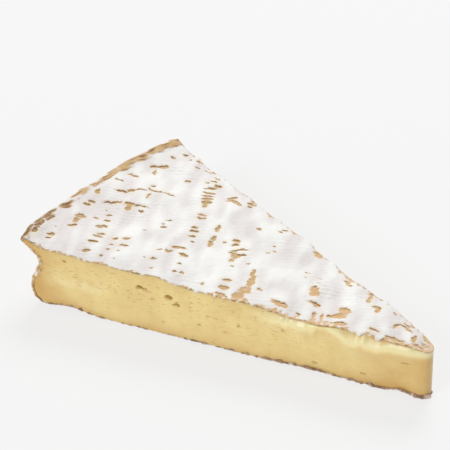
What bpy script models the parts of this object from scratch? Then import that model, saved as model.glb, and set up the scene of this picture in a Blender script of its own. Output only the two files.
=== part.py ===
"""A cut wedge of white-rinded soft cheese, made as one solid.

Blender units are metres and +Z is up. The wedge stands on z = 0 with its point towards +X,
the rim of the wheel it was cut from towards -X, and the cut that shows most towards -Y. The
origin lies on the table, half way along the wedge's length.
"""

import math

import bmesh
import bpy
from mathutils import Vector, noise

MM = 0.001

# Driving sizes
LENGTH = 180 * MM  # point to lip, half the width of the wheel
RIM_WIDTH = 102 * MM  # straight across the rim, cut to cut
POINT_RADIUS = 4 * MM  # the soft point, seen from above
POINT_HEIGHT = 25.4 * MM
RIM_HEIGHT = 30.4 * MM  # top just inside the raised lip

# The rim's side: share of the height, and how far it stands in from the lip
RIM_PROFILE = (
    (0.00, 10.5 * MM),
    (0.05, 8.0 * MM),
    (0.13, 5.7 * MM),
    (0.27, 4.7 * MM),
    (0.42, 4.9 * MM),
    (0.58, 6.2 * MM),
    (0.72, 7.4 * MM),
    (0.82, 7.0 * MM),
    (0.88, 4.4 * MM),
    (0.93, 0.9 * MM),
    (0.96, 0.0 * MM),
    (1.00, 0.4 * MM),
)
LIP_RISE = 1.3 * MM  # how far the lip stands above the top behind it
LIP_REACH = 5 * MM
LIP_WAVES = ((-40 * MM, 14 * MM, 1.5 * MM), (3 * MM, 18 * MM, -1.6 * MM))  # y, half length, rise
POINT_DROOP, POINT_REACH = 2.2 * MM, 6 * MM  # the top sinks at the soft point

# The top's swells and hollows: x, y, half length, half width, rise
TOP_SWELLS = (
    (-70 * MM, 9 * MM, 13 * MM, 5 * MM, 1.2 * MM),
    (-68 * MM, -34 * MM, 14 * MM, 10 * MM, 1.3 * MM),
    (-38 * MM, -20 * MM, 9 * MM, 13 * MM, 0.9 * MM),
    (-18 * MM, 22 * MM, 20 * MM, 9 * MM, 1.3 * MM),
    (26 * MM, 8 * MM, 12 * MM, 7 * MM, 0.8 * MM),
    (60 * MM, -3 * MM, 9 * MM, 5 * MM, 0.7 * MM),
    (-57 * MM, -10 * MM, 11 * MM, 12 * MM, -1.5 * MM),
    (-60 * MM, 26 * MM, 12 * MM, 9 * MM, -0.9 * MM),
    (-23 * MM, 3 * MM, 5 * MM, 12 * MM, -1.1 * MM),
    (-14 * MM, -20 * MM, 11 * MM, 8 * MM, -0.9 * MM),
    (9 * MM, -12 * MM, 6 * MM, 8 * MM, -0.9 * MM),
    (40 * MM, -6 * MM, 7 * MM, 6 * MM, -0.8 * MM),
)
BROAD_WAVE, BROAD_RISE = 31 * MM, 1.0 * MM
PUCKER_WAVE, PUCKER_RISE = 11 * MM, 1.0 * MM
EDGE_SAG, EDGE_REACH = 0.7 * MM, 4 * MM  # the top's edge sinks along both cuts

# The soft paste swells out under the rind along the thin half of each cut
BULGE_OUT = 1.2 * MM
BULGE_AT_X, BULGE_AT_Z = 52 * MM, 19 * MM
BULGE_LONG, BULGE_TALL = 34 * MM, 6.5 * MM
CUT_WAVE, CUT_RISE = 16 * MM, 0.7 * MM
SIDE_WAVE, SIDE_RISE = 9 * MM, 1.1 * MM

# The underside is flat up to these limits, and its edges curl off the table beyond them
REST_LOW_X, REST_HIGH_X = -70 * MM, 70 * MM
REST_INSET = 5 * MM  # from the cuts
FOOT_CURL, CURL_REACH = 0.4 * MM, 6 * MM

# Where the edges along the cuts lift further: x, half length, rise
FOOT_ARCHES = (
    (-62 * MM, 9 * MM, 2.0 * MM),
    (-8 * MM, 26 * MM, 0.3 * MM),
    (42 * MM, 12 * MM, 0.8 * MM),
    (79 * MM, 4 * MM, 1.5 * MM),
)

# Holes in the paste that the knife opened: x, z, half length, half height
NEAR_EYES = (
    (-29.0 * MM, 20.6 * MM, 2.9 * MM, 1.2 * MM),
    (-17.9 * MM, 19.4 * MM, 1.8 * MM, 1.4 * MM),
    (-14.4 * MM, 16.7 * MM, 1.9 * MM, 0.9 * MM),
)
FAR_EYES = (
    (-44.0 * MM, 14.0 * MM, 2.4 * MM, 1.2 * MM),
    (-1.0 * MM, 17.5 * MM, 1.7 * MM, 1.3 * MM),
    (24.0 * MM, 9.5 * MM, 1.9 * MM, 0.9 * MM),
)

EYE_DEPTH = 1.6  # depth of a hole as a share of its half height
BALL_SEGMENTS, BALL_RINGS = 10, 7

# One pattern of unevenness for each surface; the near cut is one below its layer, the far one above
BROAD_LAYER, PUCKER_LAYER, SAG_LAYER, CUT_LAYER, SIDE_LAYER = 0.3, 4.7, 8.1, 20, 30.5

# Divisions of the block before it is shaped, and the share of its faces that is kept
ALONG, ACROSS, UP = 108, 48, 20
KEPT_SHARE = 0.25
SHARP_ANGLE = math.radians(40)

PASTE_COLOUR = (0.76, 0.60, 0.27, 1.0)

POINT_X = LENGTH / 2
POINT_CENTRE_X = POINT_X - POINT_RADIUS


def cut_lines():
    """Half the angle between the two cuts, and the x where their planes would meet.

    Each cut runs from a corner of the rim to the side of the rounded point.
    """
    half_width = RIM_WIDTH / 2
    corner_x = POINT_X - math.sqrt(LENGTH**2 - half_width**2)
    run = POINT_CENTRE_X - corner_x
    half_angle = math.atan2(half_width, run) - math.asin(POINT_RADIUS / math.hypot(half_width, run))
    return half_angle, POINT_CENTRE_X + POINT_RADIUS / math.sin(half_angle)


HALF_ANGLE, MEETING_X = cut_lines()


def bell(distance, reach):
    """A smooth hump: 1 in the middle, falling to almost 0 at twice the reach."""
    return math.exp(-((distance / reach) ** 2))


def ripple(x, y, wave, layer):
    """Smooth unevenness of a given size, about -1 to 1, the same on every run."""
    return noise.noise(Vector((x / wave, y / wave, layer)))


def rim_inset(share):
    """How far the rim's side stands in from the lip at a share of its height."""
    for (low, start), (high, end) in zip(RIM_PROFILE, RIM_PROFILE[1:]):
        if share <= high:
            step = (share - low) / (high - low)
            return start + (end - start) * step * step * (3 - 2 * step)
    return RIM_PROFILE[-1][1]


def distance_from_cut(x, y):
    """How far a point inside the wedge lies from the nearer cut."""
    return (MEETING_X - x) * math.sin(HALF_ANGLE) - abs(y) * math.cos(HALF_ANGLE)


def top_height(x, y):
    """Height of the rind's top, with the raised lip, the swells and the sagging edges."""
    from_point = math.hypot(POINT_X - x, y)
    height = POINT_HEIGHT + (RIM_HEIGHT - POINT_HEIGHT) * (POINT_X - x) / LENGTH
    lip = LIP_RISE + sum(rise * bell(y - place, reach) for place, reach, rise in LIP_WAVES)
    height += lip * bell(LENGTH - from_point, LIP_REACH)
    height -= POINT_DROOP * bell(from_point, POINT_REACH)
    for place_x, place_y, half_length, half_width, rise in TOP_SWELLS:
        height += rise * bell(x - place_x, half_length) * bell(y - place_y, half_width)
    height += BROAD_RISE * ripple(x, y, BROAD_WAVE, BROAD_LAYER)
    height += PUCKER_RISE * ripple(x, y, PUCKER_WAVE, PUCKER_LAYER)
    sag = EDGE_SAG * (1 + ripple(x, y, PUCKER_WAVE, SAG_LAYER))
    return height - sag * bell(distance_from_cut(x, y), EDGE_REACH)


def base_height(x, y):
    """Height of the underside: flat on the table, with curled edges arched beside the cuts."""
    arches = sum(rise * bell(x - place, reach) for place, reach, rise in FOOT_ARCHES)
    near_cut = max(1 - distance_from_cut(x, y) / REST_INSET, 0)
    near_end = min(max(REST_LOW_X - x, x - REST_HIGH_X, 0) / CURL_REACH, 1)
    return max(near_cut * (FOOT_CURL + arches), near_end * FOOT_CURL)


def shape_point(along, across, up):
    """Places one point of the block.

    along runs from 0 at the rim to 1 at the point, across from -1 at the near cut to 1 at
    the far one, and up from 0 on the table to 1 on the rind.
    """
    angle = across * HALF_ANGLE
    away = Vector((-math.cos(angle), math.sin(angle)))

    # Half even and half crowded towards the top and the foot
    share = (up + (1 - math.cos(math.pi * up)) / 2) / 2

    # The rim is round about the point's end, and the point is a small half round
    rim_radius = LENGTH - rim_inset(share)
    offset = MEETING_X - POINT_X
    rim_reach = offset * math.cos(angle) + math.sqrt(rim_radius**2 - (offset * math.sin(angle)) ** 2)
    inner = MEETING_X - POINT_CENTRE_X
    inner_side = inner * math.sin(angle)
    point_reach = inner * math.cos(angle) - math.sqrt(max(POINT_RADIUS**2 - inner_side**2, 0))
    reach = rim_reach + (point_reach - rim_reach) * along
    spot = Vector((MEETING_X, 0)) + away * reach

    low, high = base_height(*spot), top_height(*spot)
    z = low + (high - low) * share
    on_side = math.sin(math.pi * share)
    if abs(across) == 1:
        bulge = BULGE_OUT * bell(spot.x - BULGE_AT_X, BULGE_LONG) * bell(z - BULGE_AT_Z, BULGE_TALL)
        bulge += CUT_RISE * ripple(spot.x, z, CUT_WAVE, CUT_LAYER + across) * on_side
        outwards = Vector((math.sin(HALF_ANGLE), across * math.cos(HALF_ANGLE)))
        spot += outwards * bulge
    elif along == 0:
        spot += away * SIDE_RISE * ripple(spot.y, z, SIDE_WAVE, SIDE_LAYER) * on_side
    return Vector((spot.x, spot.y, z))


def block_mesh():
    """A unit block, divided evenly by planes across each of its three directions."""
    mesh = bmesh.new()
    bmesh.ops.create_cube(mesh, size=1.0)
    for axis, count in enumerate((ALONG, ACROSS, UP)):
        normal = Vector((axis == 0, axis == 1, axis == 2))
        for step in range(1, count):
            bmesh.ops.bisect_plane(
                mesh,
                geom=mesh.verts[:] + mesh.edges[:] + mesh.faces[:],
                plane_co=normal * (step / count - 0.5),
                plane_no=normal,
            )
    return mesh


def wedge_object(collection):
    """The wedge itself, from the divided block."""
    mesh = block_mesh()
    for vert in mesh.verts:
        x, y, z = (round(value, 5) for value in vert.co)
        vert.co = shape_point(x + 0.5, y * 2, z + 0.5)
    bmesh.ops.recalc_face_normals(mesh, faces=mesh.faces)
    data = bpy.data.meshes.new("brie_wedge")
    mesh.to_mesh(data)
    mesh.free()
    data.shade_smooth()
    data.set_sharp_from_angle(angle=SHARP_ANGLE)
    wedge = bpy.data.objects.new("brie_wedge", data)
    collection.objects.link(wedge)
    fewer = wedge.modifiers.new("fewer_faces", "DECIMATE")
    fewer.ratio = KEPT_SHARE
    return wedge


def eye_cutters(collection):
    """Flattened balls, half sunk in the cuts, that leave the open holes in the paste."""
    for side, eyes in ((-1, NEAR_EYES), (1, FAR_EYES)):
        for number, (x, z, half_length, half_height) in enumerate(eyes):
            ball = bmesh.new()
            bmesh.ops.create_uvsphere(ball, u_segments=BALL_SEGMENTS, v_segments=BALL_RINGS, radius=1.0)
            data = bpy.data.meshes.new(f"eye_{side}_{number}")
            ball.to_mesh(data)
            ball.free()
            cutter = bpy.data.objects.new(data.name, data)
            cutter.location = (x, side * (MEETING_X - x) * math.tan(HALF_ANGLE), z)
            cutter.rotation_euler = (0, 0, -side * HALF_ANGLE)
            cutter.scale = (half_length, half_height * EYE_DEPTH, half_height)
            cutter.hide_render = True
            cutter.display_type = "WIRE"
            collection.objects.link(cutter)


def rind_and_paste():
    """One matt, creamy finish for the whole solid."""
    material = bpy.data.materials.new("soft_cheese")
    material.use_nodes = True
    shader = material.node_tree.nodes["Principled BSDF"]
    shader.inputs["Base Color"].default_value = PASTE_COLOUR
    shader.inputs["Roughness"].default_value = 0.55
    shader.inputs["Metallic"].default_value = 0.0
    return material


def new_collection(name):
    """A collection of that name in the scene."""
    collection = bpy.data.collections.new(name)
    bpy.context.scene.collection.children.link(collection)
    return collection


def main():
    """Builds the wedge in an empty scene."""
    for old in list(bpy.data.objects):
        bpy.data.objects.remove(old, do_unlink=True)
    wedge = wedge_object(new_collection("soft_cheese_wedge"))
    wedge.data.materials.append(rind_and_paste())
    cutters = new_collection("eye_cutters")
    eye_cutters(cutters)
    eyes = wedge.modifiers.new("eyes", "BOOLEAN")
    eyes.operation = "DIFFERENCE"
    eyes.operand_type = "COLLECTION"
    eyes.collection = cutters
    eyes.solver = "EXACT"


main()
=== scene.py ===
"""A cut wedge of soft cheese with a white mould rind, dressed for its photograph.

The wedge stands on the frame's floor with its point towards +X and the cut that shows most
towards -Y. Forms are worked out in millimetres and turned to metres when a mesh is made.
"""

import logging
import math
from dataclasses import dataclass
from enum import Enum
from functools import cached_property
from typing import Callable, Iterator

import bpy
import numpy as np
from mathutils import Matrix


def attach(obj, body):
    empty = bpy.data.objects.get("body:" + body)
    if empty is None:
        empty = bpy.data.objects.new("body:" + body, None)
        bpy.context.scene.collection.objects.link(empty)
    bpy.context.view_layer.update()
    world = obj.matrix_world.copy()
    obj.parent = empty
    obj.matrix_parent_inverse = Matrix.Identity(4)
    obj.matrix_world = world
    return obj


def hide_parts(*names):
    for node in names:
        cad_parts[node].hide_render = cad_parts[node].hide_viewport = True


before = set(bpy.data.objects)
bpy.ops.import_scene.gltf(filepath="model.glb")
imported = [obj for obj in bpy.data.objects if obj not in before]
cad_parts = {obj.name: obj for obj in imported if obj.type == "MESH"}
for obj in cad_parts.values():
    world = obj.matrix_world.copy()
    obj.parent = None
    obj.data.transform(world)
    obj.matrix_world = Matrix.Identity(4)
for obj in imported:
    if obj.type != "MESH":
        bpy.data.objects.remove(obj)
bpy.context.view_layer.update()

import openvdb
from mathutils import Vector, noise

LOG = logging.getLogger("cheese_wedge")
MM = 0.001
NODE, BODY = "brie_wedge", "root"
TRIANGLE_BUDGET = 190_000  # for one piece
SPARE_STEPS = 5  # grades of how readily a point may go

Numbers = np.ndarray
Feed = bpy.types.NodeSocket | float | tuple[float, ...]  # what may feed a node's socket

# The rim's side: share of the height, and how far it stands in from the lip, in mm
RIM_PROFILE = (
    (0.00, 10.5), (0.05, 8.0), (0.13, 5.7), (0.27, 4.7), (0.42, 4.9), (0.58, 6.2),
    (0.72, 7.4), (0.82, 7.0), (0.88, 4.4), (0.93, 0.9), (0.96, 0.0), (1.00, 0.4),
)
LIP_WAVES = ((-40, 14, 1.5), (3, 18, -1.6))  # y, half length, rise

# The top's swells and hollows: x, y, half length, half width, rise
TOP_SWELLS = (
    (-70, 9, 13, 5, 1.2), (-68, -34, 14, 10, 1.3), (-38, -20, 9, 13, 0.9), (-18, 22, 20, 9, 1.3),
    (26, 8, 12, 7, 0.8), (60, -3, 9, 5, 0.7), (-57, -10, 11, 12, -1.5), (-60, 26, 12, 9, -0.9),
    (-23, 3, 5, 12, -1.1), (-14, -20, 11, 8, -0.9), (9, -12, 6, 8, -0.9), (40, -6, 7, 6, -0.8),
    (-80, -47, 11, 7, 1.1), (-82, 48, 9, 7, 1.0),
)
# Where the underside's edges lift further along the cuts: x, half length, rise
FOOT_ARCHES = ((-62, 9, 2.0), (-8, 26, 0.3), (42, 12, 0.8), (79, 4, 1.5))

# Height at which the torn rind ends on the near cut, by x
NEAR_HEM = (
    (-83, 31.6), (-78, 31.1), (-73, 30.6), (-68, 31.4), (-63, 30.9), (-58, 30.1), (-54, 30.8),
    (-49, 30.3), (-44, 29.6), (-39.5, 28.8), (-35.6, 27.6), (-32.7, 26.4), (-29, 27.0), (-25, 28.6),
    (-20.3, 29.7), (-15.5, 29.6), (-12.6, 28.2), (-8.8, 26.2), (-6, 25.2), (-3, 26.4), (1, 26.0),
    (7.5, 26.0), (9.5, 25.1), (11.4, 25.9), (14.3, 25.0), (18, 24.9), (22.9, 24.4), (27.7, 24.4),
    (30.5, 25.0), (32.5, 24.0), (34.4, 25.0), (37.2, 24.4), (40.2, 24.5), (42, 25.5), (44, 25.0),
    (45.9, 27.6), (48.8, 27.8), (51.6, 26.6), (54.5, 25.6), (56.5, 24.2), (58.4, 23.4), (61.2, 23.0),
    (64.1, 24.4), (66, 23.6), (69, 23.2), (70.8, 23.1), (72.7, 23.8), (75.6, 24.6), (80.4, 24.8),
    (86, 24.6), (90, 24.4),
)
FAR_HEM = (
    (-83, 31.0), (-74, 30.4), (-66, 28.2), (-61, 29.6), (-52, 29.8), (-46, 28.4), (-41, 26.8),
    (-36, 28.6), (-27, 29.6), (-20, 28.4), (-14, 28.9), (-9, 26.4), (-4, 27.9), (4, 27.6),
    (10, 25.6), (15, 26.9), (22, 25.4), (27, 24.0), (32, 25.7), (40, 25.6), (46, 23.9), (52, 25.2),
    (58, 24.4), (64, 22.6), (70, 24.0), (77, 23.6), (84, 24.4), (90, 24.4),
)
# Where the mould is torn away above the near hem, by x: middle, half length, height of the gap
NEAR_GAPS = (
    (-76, 2.5, 1.2), (-66, 2, 1.0), (-47.5, 2, 1.0), (-33, 2.2, 1.4), (-10, 2, 1.2), (2, 2.5, 1.6),
    (12.5, 3.2, 3.4), (20, 1.3, 1.4), (25.5, 3.4, 2.4), (31.8, 0.9, 1.6), (36, 0.8, 1.4),
    (41.5, 1.2, 3.0), (47.5, 4.2, 2.8), (61, 1.2, 1.2), (66.5, 2.4, 2.0), (72.5, 0.9, 1.6),
    (77, 2.6, 1.8), (86, 4.5, 2.2),
)
FAR_GAPS = (
    (-70, 2, 0.8), (-55, 2, 1.4), (-32, 3, 0.8), (-15, 2.5, 1.2), (1, 2, 1.0), (18, 3, 1.8),
    (37, 3, 1.2), (50, 2, 1.0), (62, 2, 1.0), (74, 2.5, 1.2), (86, 4.5, 1.4),
)

# Holes in the paste that the knife opened: x, z, half length, half height, depth
NEAR_EYES = (
    (-30.6, 21.0, 1.5, 1.1, 1.7), (-28.6, 20.6, 1.6, 0.8, 1.0), (-26.6, 20.1, 1.5, 0.5, 0.5),
    (-17.9, 19.6, 1.7, 1.3, 2.1), (-14.4, 16.8, 1.6, 0.7, 1.3), (-63.4, 25.0, 0.8, 0.7, 1.0),
    (12.3, 14.3, 0.6, 0.7, 0.8), (-4.9, 9.6, 0.9, 0.6, 0.6), (6.6, 9.5, 1.1, 0.5, 0.5),
    (31.5, 17.6, 1.2, 0.7, 0.6), (44.0, 4.8, 1.3, 0.6, 0.7), (64.1, 5.4, 1.3, 0.5, 0.7),
    (81.4, 16.0, 2.0, 0.5, 0.6), (-20.3, 6.7, 1.0, 0.5, 0.4), (-8.2, 16.0, 1.1, 0.4, 0.3),
)
FAR_EYES = (
    (-44.6, 14.0, 1.6, 1.1, 1.8), (-42.4, 14.3, 1.5, 0.7, 0.8), (-1.0, 17.5, 1.5, 1.2, 1.9),
    (24.0, 9.5, 1.7, 0.8, 1.2), (-66.0, 20.0, 0.9, 0.6, 0.8), (-23.0, 8.0, 1.0, 0.5, 0.6),
    (11.0, 20.0, 0.7, 0.6, 0.7), (40.0, 15.0, 1.1, 0.6, 0.6), (56.0, 7.0, 1.0, 0.5, 0.5),
    (70.0, 14.0, 1.6, 0.5, 0.5), (-55.0, 7.0, 0.9, 0.5, 0.5),
)

# Places on the top where the mould is rubbed off: x, y, half length, half width, turn, strength
RUBBED_PLACES = (
    (-82, -2.5, 1.8, 0.9, -71, 0.9), (-86, -18, 2, 0.9, 71, 0.9), (-85, -20, 1.5, 0.7, 49, 0.9),
    (-83, -45, 3, 0.6, -81, 1), (-81.2, -43, 2.4, 0.5, -84, 0.95), (-83, -38.6, 3.2, 0.6, -86, 1),
    (-84.6, -38, 2.4, 0.5, -84, 1.0), (-85.2, -31.5, 3.2, 0.9, -82, 1.0),
    (-83.2, -31.5, 2.4, 0.5, -80, 0.95), (-86.4, -27, 2.4, 0.6, -84, 1.0),
    (-86.2, -17.5, 2.8, 0.6, 80, 1.0), (-85, -19, 1.8, 0.5, 34, 0.9),
    (-72.5, 45, 1.2, 0.6, 20, 0.8), (-75, 39.5, 1.4, 0.7, 40, 0.8), (-73, 32.5, 1.0, 0.5, 25, 0.8),
    (-77, 28.5, 1.6, 0.8, 35, 0.95), (-74.5, 31, 2.0, 0.7, 35, 1.0), (-74, 25.5, 1.9, 0.6, -63, 0.8),
    (-78.5, 17, 2.6, 0.7, 5, 0.85), (-80.5, 10, 2.2, 0.5, 15, 0.7), (-74.5, 4.5, 3.0, 0.4, 28, 0.95),
    (-79.5, -9.5, 1.4, 0.6, 40, 0.95), (-79.8, -12, 1.2, 0.5, 30, 0.9), (-76, -20.5, 2.0, 1.0, 35, 1.0),
    (-75.5, -24, 1.0, 1.6, 15, 0.95), (-74, -28, 1.8, 0.8, 30, 0.95), (-77.5, -34.5, 0.9, 0.4, 20, 0.6),
    (-76, -39.5, 1.8, 0.6, 30, 0.9), (-75, -42, 1.2, 0.5, 25, 0.8), (-64.5, 44.5, 1.3, 0.5, 5, 0.75),
    (-68, 43.5, 0.9, 0.4, 20, 0.7), (-57, 41.5, 2.4, 0.4, -14, 0.7), (-49.5, 38.8, 2.2, 0.4, -14, 0.65),
    (-67.5, 17, 1.1, 0.5, 40, 0.75), (-71, 6.6, 1.6, 0.8, 20, 0.95), (-68, 9.8, 2.6, 0.4, 46, 0.9),
    (-66, -0.8, 1.8, 0.9, 30, 1.0), (-64.8, -2.6, 0.9, 1.9, 20, 1.0), (-73, -4, 4.2, 0.5, 36, 0.95),
    (-61, 1.2, 2.6, 0.5, 22, 0.95), (-68, -11, 1.4, 0.6, 30, 0.8), (-66, -15.5, 1.4, 0.8, 30, 0.9),
    (-70.5, -17, 1.0, 0.5, 20, 0.8), (-71.5, -9, 0.8, 0.4, 20, 0.65), (-62.5, 41, 1.2, 0.5, 20, 0.7),
    (-59.5, 30.5, 1.4, 0.5, 35, 0.75), (-57.5, 15.2, 3.0, 0.4, 8, 0.9), (-63.5, 14, 2.8, 0.6, 12, 1.0),
    (-62.5, 8, 0.6, 1.8, 15, 0.9), (-66.5, 14, 1.2, 0.5, -30, 0.8), (-59, -1, 1.6, 0.5, 10, 0.8),
    (-64, -20, 1.6, 0.7, 30, 1.0), (-64.5, -22, 1.2, 0.5, 25, 0.85), (-60.5, -25.5, 1.6, 0.7, 32, 1.0),
    (-60, -28, 1.8, 0.6, 28, 1.0), (-58.5, -33, 1.9, 0.7, 36, 1.0), (-57, -38.5, 1.9, 0.6, 28, 0.85),
    (-49, 36, 1.5, 0.5, 20, 0.8), (-51, 33.5, 1.3, 0.4, 40, 0.75), (-49, 30, 1.4, 0.5, 30, 0.7),
    (-48.5, -11.5, 1.2, 0.4, 25, 0.6), (-50.5, -21, 1.8, 0.7, 28, 0.9),
    (-54.5, -23.5, 1.4, 0.7, 26, 0.9), (-52.5, -28, 0.9, 0.4, 35, 0.7),
    (-51, -32.5, 1.0, 0.4, 25, 0.65), (-50, -37.5, 1.0, 0.4, 31, 0.65),
    (-47.5, -26, 1.7, 0.7, 22, 0.9), (-46.5, -31, 0.9, 0.5, 30, 0.65), (-44.5, -36, 1.2, 0.4, 30, 0.6),
    (-46, 34.5, 1.6, 0.8, 20, 1.0), (-47, 31.5, 1.6, 0.7, 35, 0.95), (-45.5, 27.8, 2.4, 0.6, 32, 1.0),
    (-44.3, 25.6, 2.4, 0.6, 32, 1.0), (-43.2, 23.4, 2.0, 0.7, 32, 1.0), (-41.6, 21.2, 1.6, 1.2, 30, 1.0),
    (-40.5, 18.6, 0.9, 1.2, 10, 0.85), (-45, 0.5, 1.8, 0.4, 24, 0.65), (-43.5, -5, 1.4, 0.7, 38, 0.8),
    (-45.5, -3, 1.2, 0.4, 30, 0.6), (-35, 31, 1.8, 0.7, 40, 1.0), (-33, 28.8, 3.0, 0.8, 5, 1.0),
    (-30, 27.8, 1.8, 0.9, 0, 1.0), (-37, 13, 1.9, 0.6, 25, 0.9), (-36, 10.5, 1.6, 0.6, 35, 0.9),
    (-33.5, -19.5, 1.5, 0.5, 35, 0.7), (-26.5, 34.5, 1.4, 0.5, -8, 0.75), (-26, 32.5, 1.7, 0.8, 30, 1.0),
    (-25, 30, 0.9, 0.5, 40, 0.75), (-26, 9.5, 0.8, 2.2, 12, 0.9), (-33.6, 3.5, 1.4, 0.7, 40, 0.95),
    (-32, 1.0, 1.6, 0.7, 35, 0.95), (-30.6, -2.0, 1.4, 0.7, 30, 0.9), (-28, -5, 1.0, 0.4, 20, 0.65),
    (-29, -12.5, 3.0, 0.7, 30, 0.9), (-24, -15.5, 1.9, 0.8, 13, 0.95), (-30.5, -17.5, 1.4, 0.6, 30, 0.9),
    (-31.5, -26, 1.3, 0.4, 39, 0.7), (-28.5, -31, 0.9, 0.4, 31, 0.6), (-35, -28, 1.0, 0.4, 20, 0.55),
    (-18.5, 4.5, 1.2, 0.6, -30, 0.75), (-23.4, 3.6, 0.8, 1.6, 20, 0.9), (-22.4, 0.0, 0.8, 2.2, 24, 0.95),
    (-22, -21, 1.2, 0.5, 20, 0.7), (-17.5, -25, 1.0, 0.6, 10, 0.8), (-20.5, -26, 0.9, 0.5, 35, 0.75),
    (-14.5, 7.5, 1.7, 0.7, 15, 1.0), (-13, 5, 1.4, 0.6, 30, 0.95), (-9, 3, 3.3, 0.8, 38, 1.0),
    (-10, -0.4, 1.8, 0.6, 15, 0.95), (-7.6, -1.6, 1.8, 1.2, 30, 1.0), (-7.4, -4.6, 0.9, 1.1, 0, 0.9),
    (-5.5, 0.6, 1.6, 0.5, 35, 0.85), (-2.5, 25.4, 1.2, 0.5, 35, 0.85), (-2.8, 23, 1.0, 0.5, 30, 0.8),
    (-11, 18.5, 1.4, 0.6, 20, 0.7), (-0.5, -2.5, 1.0, 0.4, 34, 0.7), (-5, -7.6, 0.9, 0.4, 30, 0.65),
    (-1, -16, 1.7, 0.9, 30, 1.0), (-7, -24.5, 0.6, 1.1, 0, 0.7), (3, 11, 1.2, 0.4, 10, 0.65),
    (0.5, 14, 1.0, 0.4, 20, 0.6), (1.4, 8.8, 0.8, 0.4, 20, 0.6), (1.5, -21, 2.1, 1.0, 28, 1.0),
    (3.5, -25.6, 2.8, 0.7, 8, 1.0), (14, -13, 1.2, 0.6, 20, 0.75), (5.4, -6.6, 0.8, 2.2, 25, 0.95),
    (7.8, -11, 1.2, 3.4, 20, 1.0), (9.4, -17, 2.4, 2.2, 10, 1.0), (9, -21.5, 2.0, 2.6, 0, 1.0),
    (17.7, 21.3, 2.4, 0.8, -17, 1.0), (26, -16, 3.6, 1.2, 2, 1.0), (38, 14.6, 1.6, 1.0, 0, 1.0),
    (40, 12.8, 1.6, 0.6, -20, 0.9), (31.6, 0.5, 1.8, 1.8, 30, 1.0), (32.8, -1.2, 1.8, 1.8, 25, 1.0),
    (36.6, -6.0, 2.4, 0.8, 22, 1.0), (35, -15.6, 1.5, 0.5, 20, 0.7), (40.4, -11.5, 0.5, 2.2, 30, 0.8),
    (43.4, -10.5, 0.5, 2.4, 25, 0.85), (51.8, 11.4, 0.8, 2.2, 24, 0.95), (53, 8.4, 0.7, 1.4, 15, 0.9),
    (58.5, 6.4, 1.8, 0.8, -10, 0.95), (60, 4.6, 0.7, 1.4, 10, 0.9), (49.6, -3.0, 2.4, 1.3, -15, 1.0),
    (49.4, -6.6, 2.6, 1.5, 15, 1.0), (46.4, -8.2, 1.8, 0.9, 20, 1.0), (53, -11, 2.6, 0.8, 25, 0.95),
    (66.5, -6.5, 2.3, 0.6, 15, 0.9), (66, 8, 1.6, 0.4, -20, 0.6), (74.5, 5, 2.4, 0.4, -16, 0.75),
    (71.6, 1.6, 0.6, 2.2, -10, 0.9), (75.4, 3.2, 3.4, 0.6, -8, 0.95), (81.4, 0.2, 0.8, 2.2, 14, 0.95),
    (76, -5.2, 4.2, 0.8, 12, 0.95), (86.4, 0.6, 2.6, 1.8, -10, 0.62), (22.4, 8, 0.9, 0.4, 20, 0.6),
    (84.5, -2.4, 2.6, 0.6, 12, 0.9), (23.4, 4.6, 0.9, 0.4, 20, 0.55), (29, 7.4, 1.4, 0.4, 15, 0.55),
    (31, 4.4, 1.3, 0.4, 15, 0.5),
)
REED_TURN = 30.0  # direction of the reeds' prints, in degrees from +X
REED_PITCH = 2.1  # from one reed to the next


def bell(distance: Numbers, reach: float) -> Numbers:
    """A smooth hump: 1 in the middle, falling to almost 0 at twice the reach."""
    return np.exp(-((distance / reach) ** 2))


def ease(value: Numbers, low: float, high: float) -> Numbers:
    """0 below low, 1 above high, with a smooth step between."""
    step = np.clip((value - low) / (high - low), 0.0, 1.0)
    return step * step * (3 - 2 * step)


def ripple(x: Numbers, y: Numbers, wave: float, layer: float) -> Numbers:
    """Smooth unevenness of a given size, the same on every run.

    Args:
        x: First coordinate of each point, in mm.
        y: Second coordinate of each point, in mm.
        wave: Size of one swell, in mm.
        layer: Which of the endless patterns to use.

    Returns:
        A value from about -1 to 1 for each point.
    """
    x, y = np.broadcast_arrays(np.asarray(x, float), np.asarray(y, float))
    points = np.stack([x.ravel() / wave, y.ravel() / wave, np.full(x.size, layer)], 1).tolist()
    return np.array([noise.noise(point) for point in points]).reshape(x.shape)


def soft_min(first: Numbers, second: Numbers, blend: float) -> Numbers:
    """The smaller of two depths, with the corner between them rounded over the blend."""
    share = np.clip(0.5 + 0.5 * (second - first) / blend, 0.0, 1.0)
    return second + (first - second) * share - blend * share * (1 - share)


def soft_max(first: Numbers, second: Numbers, blend: float) -> Numbers:
    """The larger of two depths, with the notch between them filled over the blend."""
    return -soft_min(-first, -second, blend)


def turned(x: Numbers, y: Numbers, degrees: float) -> tuple[Numbers, Numbers]:
    """Measures places along and across a direction.

    Args:
        x: Place along the wedge.
        y: Place across it.
        degrees: The direction, from +X.

    Returns:
        How far ahead each place lies in that direction, and how far aside.
    """
    sine, cosine = math.sin(math.radians(degrees)), math.cos(math.radians(degrees))
    return x * cosine + y * sine, y * cosine - x * sine


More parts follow.
